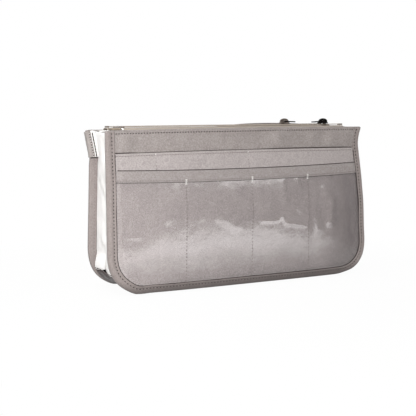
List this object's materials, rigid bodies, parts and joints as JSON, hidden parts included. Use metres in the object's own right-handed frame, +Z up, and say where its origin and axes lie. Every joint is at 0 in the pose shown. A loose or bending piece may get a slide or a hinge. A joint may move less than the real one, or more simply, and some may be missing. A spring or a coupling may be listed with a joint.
{
  "type": "travel organizer bag",
  "caption": "Soft organizer bag of zipped pouches joined by white side walls, with an open middle compartment, and with slip pockets and clear pockets on its front.",
  "frame": {"origin": "under the middle of the bag, on the surface that it stands on, centred on its overall length and depth", "axes": "+X to the right along the bag's length, -Y out of the front with the clear pockets, +Z up"},
  "size_m": [0.3022, 0.0744, 0.1662],
  "materials": {
    "oxford": "padded taupe grey oxford cloth with a faint sheen",
    "pocket": "thin taupe grey oxford cloth",
    "binding": "taupe grey binding tape, stitched",
    "lining": "pale nylon lining",
    "nylon": "white nylon, soft folds",
    "underside": "taupe oxford cloth, stitched",
    "film": "clear soft film, glossy",
    "tape": "woven beige zip tape",
    "coil": "beige nylon coil",
    "end_tab": "tan folded tape",
    "metal": "dark gunmetal plating"
  },
  "bodies": {
    "bag": {"front_panel": "oxford", "front_lining": "lining", "front_binding": "binding", "front_divider": "nylon", "rear_panel": "oxford", "rear_lining": "lining", "rear_binding": "binding", "rear_divider": "nylon", "front_slip_pocket": "pocket", "clear_pocket_film": "film", "clear_pocket_band": "pocket", "rear_slip_pocket": "pocket", "side_wall_left": "nylon", "side_wall_right": "nylon", "bottom_panel": "underside", "front_zip_tape_outer": "tape", "front_zip_tape_inner": "tape", "front_zip_coil_outer": "coil", "front_zip_coil_inner": "coil", "front_zip_stop_left": "metal", "front_zip_stop_right": "metal", "front_zip_end_tab": "end_tab", "rear_zip_tape_outer": "tape", "rear_zip_tape_inner": "tape", "rear_zip_coil_outer": "coil", "rear_zip_coil_inner": "coil", "rear_zip_stop_left": "metal", "rear_zip_stop_right": "metal", "rear_zip_end_tab": "end_tab", "edge_tab_left": "binding", "edge_tab_right": "binding"},
    "front_slider": {"front_zip_slider": "metal"},
    "front_pull": {"front_zip_pull": "metal"},
    "rear_slider": {"rear_zip_slider": "metal"},
    "rear_pull": {"rear_zip_pull": "metal"}
  },
  "joints": [
    {"name": "front_zip_slide", "type": "slide", "parent": "bag", "child": "front_slider", "axis": [1, 0, 0], "range_m": [-0.221, 0.014]},
    {"name": "front_pull_swing", "type": "hinge", "parent": "front_slider", "child": "front_pull", "pos_m": [0.1035, -0.01529, 0.1631], "axis": [0, 1, 0], "range_deg": [0, 174]},
    {"name": "rear_zip_slide", "type": "slide", "parent": "bag", "child": "rear_slider", "axis": [1, 0, 0], "range_m": [-0.1975, 0.0375]},
    {"name": "rear_pull_swing", "type": "hinge", "parent": "rear_slider", "child": "rear_pull", "pos_m": [0.08, 0.02471, 0.1631], "axis": [0, -1, 0], "range_deg": [0, 174]}
  ]
}
